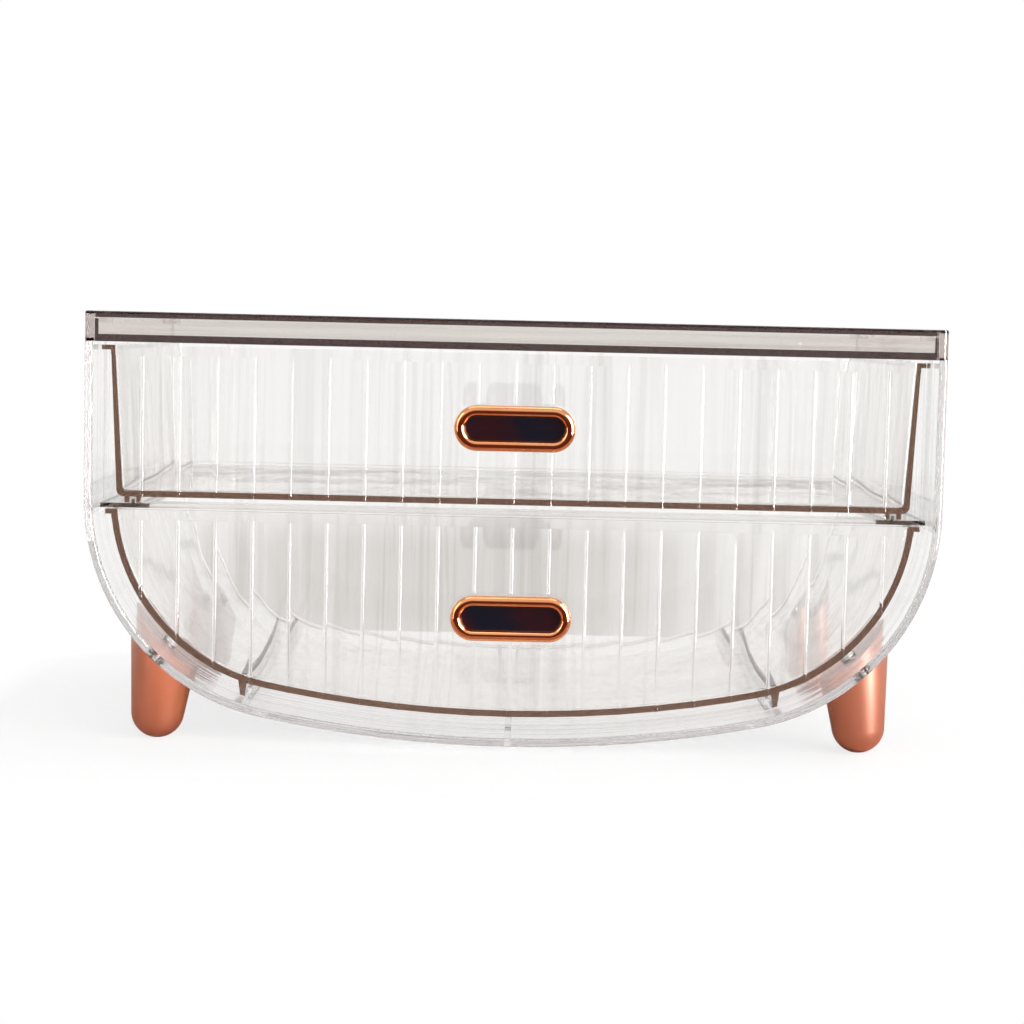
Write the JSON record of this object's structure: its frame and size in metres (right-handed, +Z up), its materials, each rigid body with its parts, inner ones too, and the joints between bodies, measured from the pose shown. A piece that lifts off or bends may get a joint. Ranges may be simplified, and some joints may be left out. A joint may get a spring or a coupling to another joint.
{
  "type": "makeup storage box",
  "caption": "Clear box on feet with a bowl-shaped lower body, fluted drawers with ring pulls, and a lift-off lid.",
  "frame": {"origin": "on the table, under the middle of the box", "axes": "+X to the right seen from the front, the drawers open towards -Y, +Z up"},
  "size_m": [0.3, 0.188, 0.1543],
  "materials": {
    "clear_casing": "clear, polished, injection moulded",
    "clear_drawer": "clear, polished, injection moulded",
    "clear_lid": "clear, polished, injection moulded",
    "pull_metal": "polished rose-gold plating",
    "foot_metal": "satin rose-gold",
    "dark_inlay": "glossy",
    "steel": "bright zinc plating"
  },
  "bodies": {
    "casing": {"casing": "clear_casing", "top_panel": "clear_lid", "collar": "clear_casing", "runner_frame": "clear_drawer", "foot_front_left": "foot_metal", "foot_front_right": "foot_metal", "foot_rear_left": "foot_metal", "foot_rear_right": "foot_metal", "foot_screws": "steel"},
    "lid": {"lid": "clear_lid"},
    "upper_drawer": {"upper_drawer": "clear_drawer", "upper_pull": "pull_metal", "upper_inlay": "dark_inlay"},
    "lower_drawer": {"lower_drawer": "clear_drawer", "lower_pull": "pull_metal", "lower_inlay": "dark_inlay"}
  },
  "joints": [
    {"name": "lid_lift", "type": "slide", "parent": "casing", "child": "lid", "axis": [0, 0, 1], "range_m": [0, 0.04]},
    {"name": "upper_drawer_slide", "type": "slide", "parent": "casing", "child": "upper_drawer", "axis": [0, -1, 0], "range_m": [0, 0.13]},
    {"name": "lower_drawer_slide", "type": "slide", "parent": "casing", "child": "lower_drawer", "axis": [0, -1, 0], "range_m": [0, 0.13]}
  ]
}
